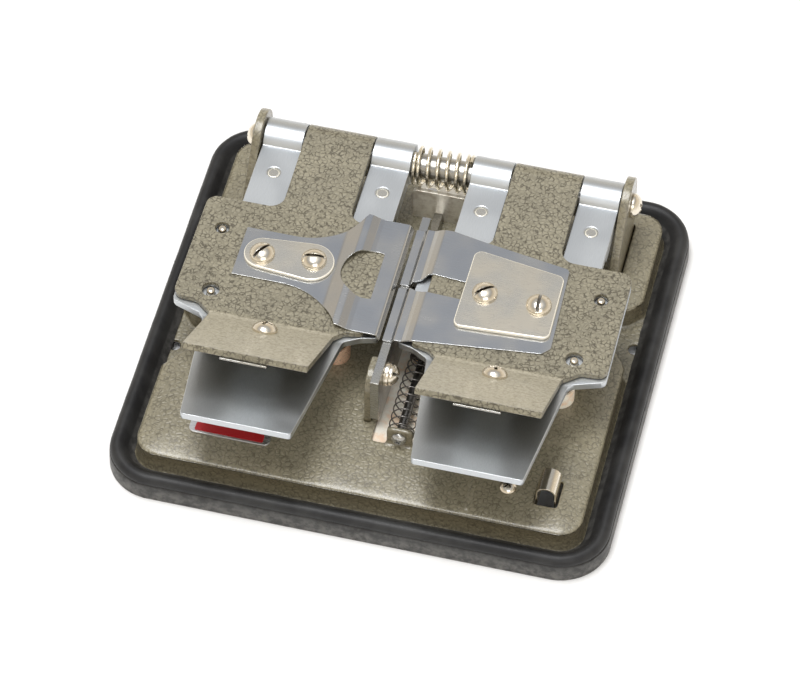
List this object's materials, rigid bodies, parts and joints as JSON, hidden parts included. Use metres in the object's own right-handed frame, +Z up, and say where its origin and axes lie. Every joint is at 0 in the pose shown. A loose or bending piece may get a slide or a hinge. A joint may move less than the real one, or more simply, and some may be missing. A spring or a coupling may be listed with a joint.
{
  "type": "cine film cement splicer",
  "caption": "Hinged twin-holder cement splicer for cine film: padded pressed base, centre cutting bar, and two lift-up lower and upper film plates on one axle.",
  "frame": {"origin": "middle of the base footprint, on the surface the rubber edging rests on", "axes": "+Z up, +Y towards the hinge axle at the rear, +X to the right of a person working at the front"},
  "size_m": [0.115, 0.1076, 0.0403],
  "materials": {
    "hammertone_paint": "olive hammertone enamel",
    "black_rubber": "matt black rubber",
    "satin_aluminium": "fine satin anodised",
    "leaf_steel": "fine brushed stainless steel",
    "bright_nickel": "bright nickel plate",
    "backing_nickel": "polished nickel silver",
    "spring_steel": "bright drawn spring steel",
    "copper_plate": "copper-tinted bright plate",
    "dark_steel": "blackened steel",
    "badge_silver": "polished",
    "badge_red": "gloss red enamel"
  },
  "bodies": {
    "base": {"base_plate": "hammertone_paint", "rubber_edging": "black_rubber", "window_plate": "copper_plate", "name_plate": "badge_silver", "name_panel": "badge_red", "arch_spring": "bright_nickel", "arch_spring_screw": "bright_nickel", "hinge_bracket": "hammertone_paint", "hinge_bracket_rivets": "hammertone_paint", "hinge_axle": "spring_steel", "axle_screws": "bright_nickel", "hinge_spring": "spring_steel", "centre_bar": "leaf_steel", "bar_lug": "dark_steel", "bar_washer": "bright_nickel", "bar_screw": "bright_nickel", "rear_bracket": "bright_nickel", "rear_bracket_rivets": "bright_nickel", "guide_rod": "spring_steel", "rod_screw": "bright_nickel", "rod_spring": "spring_steel", "left_spring_cups": "copper_plate", "left_lift_springs": "spring_steel", "right_spring_cups": "copper_plate", "right_lift_springs": "spring_steel"},
    "slider": {"slider": "spring_steel"},
    "left_lower": {"left_lower_plate": "satin_aluminium", "left_film_pins": "bright_nickel", "left_plate_rivets": "satin_aluminium"},
    "left_upper": {"left_upper_plate": "hammertone_paint", "left_pressure_leaf": "leaf_steel", "left_backing_plate": "backing_nickel", "left_leaf_screws": "bright_nickel", "left_tab_screw": "bright_nickel", "left_catch_leaf": "copper_plate", "left_nut_plate": "spring_steel"},
    "right_lower": {"right_lower_plate": "satin_aluminium", "right_film_pins": "bright_nickel", "right_plate_rivets": "satin_aluminium"},
    "right_upper": {"right_upper_plate": "hammertone_paint", "right_pressure_leaf": "leaf_steel", "right_backing_plate": "backing_nickel", "right_leaf_screws": "bright_nickel", "right_tab_screw": "bright_nickel", "right_catch_leaf": "copper_plate", "right_nut_plate": "spring_steel"}
  },
  "joints": [
    {"name": "left_lower_lift", "type": "hinge", "parent": "base", "child": "left_lower", "pos_m": [0, 0.0376, 0.0222], "axis": [-1, 0, 0], "range_deg": [0, 80]},
    {"name": "left_upper_lift", "type": "hinge", "parent": "left_lower", "child": "left_upper", "pos_m": [0, 0.0376, 0.0222], "axis": [-1, 0, 0], "range_deg": [0, 90]},
    {"name": "right_lower_lift", "type": "hinge", "parent": "base", "child": "right_lower", "pos_m": [0, 0.0376, 0.0222], "axis": [-1, 0, 0], "range_deg": [0, 80]},
    {"name": "right_upper_lift", "type": "hinge", "parent": "right_lower", "child": "right_upper", "pos_m": [0, 0.0376, 0.0222], "axis": [-1, 0, 0], "range_deg": [0, 90]},
    {"name": "slider_travel", "type": "slide", "parent": "base", "child": "slider", "axis": [0, -1, 0], "range_m": [0, 0.012], "deforming": ["rod_spring"]}
  ]
}
